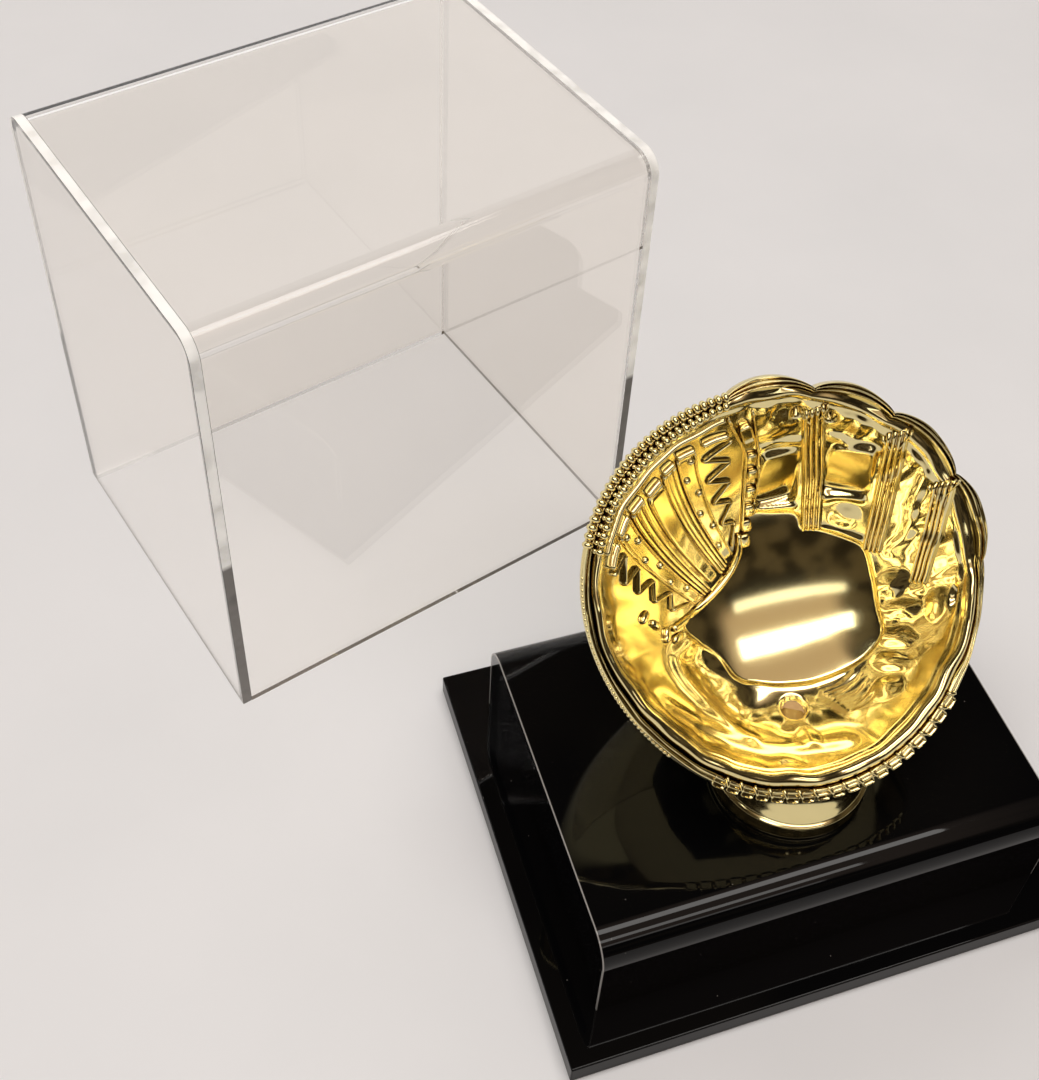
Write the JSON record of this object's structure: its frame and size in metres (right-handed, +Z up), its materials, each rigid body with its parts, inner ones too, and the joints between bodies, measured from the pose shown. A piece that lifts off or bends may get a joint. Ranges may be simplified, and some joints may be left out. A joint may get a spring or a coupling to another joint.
{
  "type": "baseball display case",
  "caption": "Display case for a baseball: a gold glove-shaped ball holder on a two-tier black acrylic base, with a clear lift-off cover that stands beside it.",
  "frame": {"origin": "centre of the base plate's underside, which rests on the table", "axes": "+Z up, +X along the base's width to the right seen from the front, -Y towards the front that the glove's mouth faces"},
  "size_m": [0.2106, 0.2427, 0.13],
  "materials": {
    "clear_acrylic": "clear polished sheet with sawn satin edges",
    "black_acrylic": "polished black sheet",
    "gold_plating": "moulded plastic, gold vacuum metallised",
    "zinc_steel": "zinc plated"
  },
  "bodies": {
    "base": {"base_plate": "black_acrylic", "riser_bent_sheet": "black_acrylic", "riser_left_panel": "black_acrylic", "riser_right_panel": "black_acrylic", "glove_palm_shell": "gold_plating", "glove_back_shell": "gold_plating", "glove_stem": "gold_plating", "stem_screw": "zinc_steel", "stem_washer": "zinc_steel"},
    "cover": {"cover_bent_sheet": "clear_acrylic", "cover_left_panel": "clear_acrylic", "cover_right_panel": "clear_acrylic"}
  },
  "joints": [
    {"name": "cover_lift", "type": "slide", "parent": "base", "child": "cover", "axis": [0, 0, 1], "range_m": [0, 0.13]}
  ]
}
